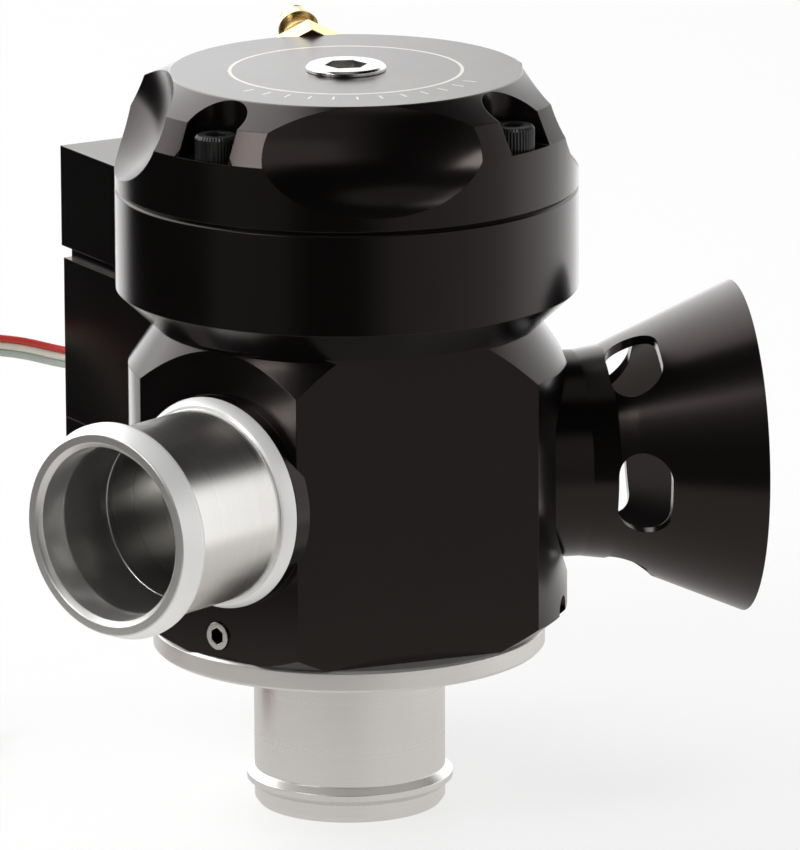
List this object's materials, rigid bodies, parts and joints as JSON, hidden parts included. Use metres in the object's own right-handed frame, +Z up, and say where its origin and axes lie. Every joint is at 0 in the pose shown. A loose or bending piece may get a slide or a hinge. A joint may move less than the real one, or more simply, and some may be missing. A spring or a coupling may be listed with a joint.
{
  "type": "blow off valve",
  "caption": "Sprung piston blow off valve with hose tails for inlet and return, a vent trumpet and a motor that turns the inner director between them.",
  "frame": {"origin": "on the valve's axis, in the plane of the inlet tail's end", "axes": "+Z up along the valve's axis, +X along the trumpet"},
  "size_m": [0.1343, 0.1079, 0.0996],
  "materials": {
    "black_anodised": "satin black anodised",
    "natural_aluminium": "turned",
    "stainless": "polished",
    "black_oxide": "black oxide",
    "seal_rubber": "matte",
    "brass": "satin",
    "white_plastic": "moulded",
    "board": "coated",
    "lead_plastic": "smooth",
    "black_plastic": "moulded"
  },
  "bodies": {
    "housing": {"valve_body": "black_anodised", "head_cap": "black_anodised", "cap_screws": "black_oxide", "cap_seal": "seal_rubber", "director_bearing": "white_plastic", "inlet_base": "natural_aluminium", "inlet_tail": "natural_aluminium", "base_seal": "seal_rubber", "base_grub_screws": "stainless", "outlet_tail": "natural_aluminium", "outlet_seal": "seal_rubber", "trumpet": "black_anodised", "trumpet_seal": "seal_rubber", "vacuum_nipple": "brass", "motor_case": "black_anodised", "gear_case": "black_anodised", "case_cover": "black_anodised", "case_screws": "black_oxide", "box_screws": "stainless", "drive_motor": "stainless", "reduction_axle": "stainless", "drive_axle": "stainless", "circuit_board": "board", "lead_grommet": "seal_rubber", "lead": "lead_plastic", "lead_coil": "lead_plastic", "lead_tie": "black_plastic", "lead_plug": "black_plastic"},
    "preload": {"preload_screw": "stainless", "preload_clip": "stainless"},
    "seat": {"spring_seat": "natural_aluminium"},
    "piston": {"piston": "natural_aluminium", "piston_seal": "seal_rubber", "piston_spring": "stainless"},
    "director": {"director": "natural_aluminium"},
    "drive_pinion": {"drive_pinion": "white_plastic"},
    "output": {"output_shaft": "stainless"},
    "reduction": {"reduction_gear": "white_plastic"},
    "motor_rotor": {"motor_pinion": "brass"}
  },
  "joints": [
    {"name": "director_turn", "type": "hinge", "parent": "housing", "child": "director", "pos_m": [0, 0, 0.0452], "axis": [0, 0, 1], "range_deg": [0, 140]},
    {"name": "drive_pinion_turn", "type": "hinge", "parent": "housing", "child": "drive_pinion", "pos_m": [-0.00891, 0.02449, 0.058], "axis": [0, 0, 1], "range_deg": [-600, 5]},
    {"name": "output_turn", "type": "hinge", "parent": "housing", "child": "output", "pos_m": [-0.01304, 0.03582, 0.06], "axis": [0, 0, 1], "range_deg": [-5, 455]},
    {"name": "reduction_turn", "type": "hinge", "parent": "housing", "child": "reduction", "pos_m": [-0.01545, 0.04245, 0.068], "axis": [0, 0, 1], "range_deg": [-1080, 5]},
    {"name": "motor_turn", "type": "hinge", "parent": "housing", "child": "motor_rotor", "pos_m": [-0.01787, 0.04909, 0.07], "axis": [0, 0, 1], "range_deg": [-5, 1940]},
    {"name": "seat_slide", "type": "slide", "parent": "housing", "child": "seat", "axis": [0, 0, -1], "range_m": [0, 0.0045], "deforming": ["piston_spring"]},
    {"name": "preload_turn", "type": "hinge", "parent": "housing", "child": "preload", "pos_m": [0, 0, 0.0975], "axis": [0, 0, -1], "range_deg": [-40, 1140]},
    {"name": "piston_lift", "type": "slide", "parent": "housing", "child": "piston", "axis": [0, 0, 1], "range_m": [0, 0.01], "stiffness_N_per_m": 2000, "springref_m": -0.01, "deforming": ["piston_spring"]}
  ],
  "couplings": [
    {"joint": "drive_pinion_turn", "follows": "director_turn", "ratio": -3.6429},
    {"joint": "output_turn", "follows": "director_turn", "ratio": 3.1875},
    {"joint": "reduction_turn", "follows": "director_turn", "ratio": -5.7375},
    {"joint": "motor_turn", "follows": "director_turn", "ratio": 10.328},
    {"joint": "preload_turn", "follows": "seat_slide", "rad_per_m": 4188.8}
  ]
}
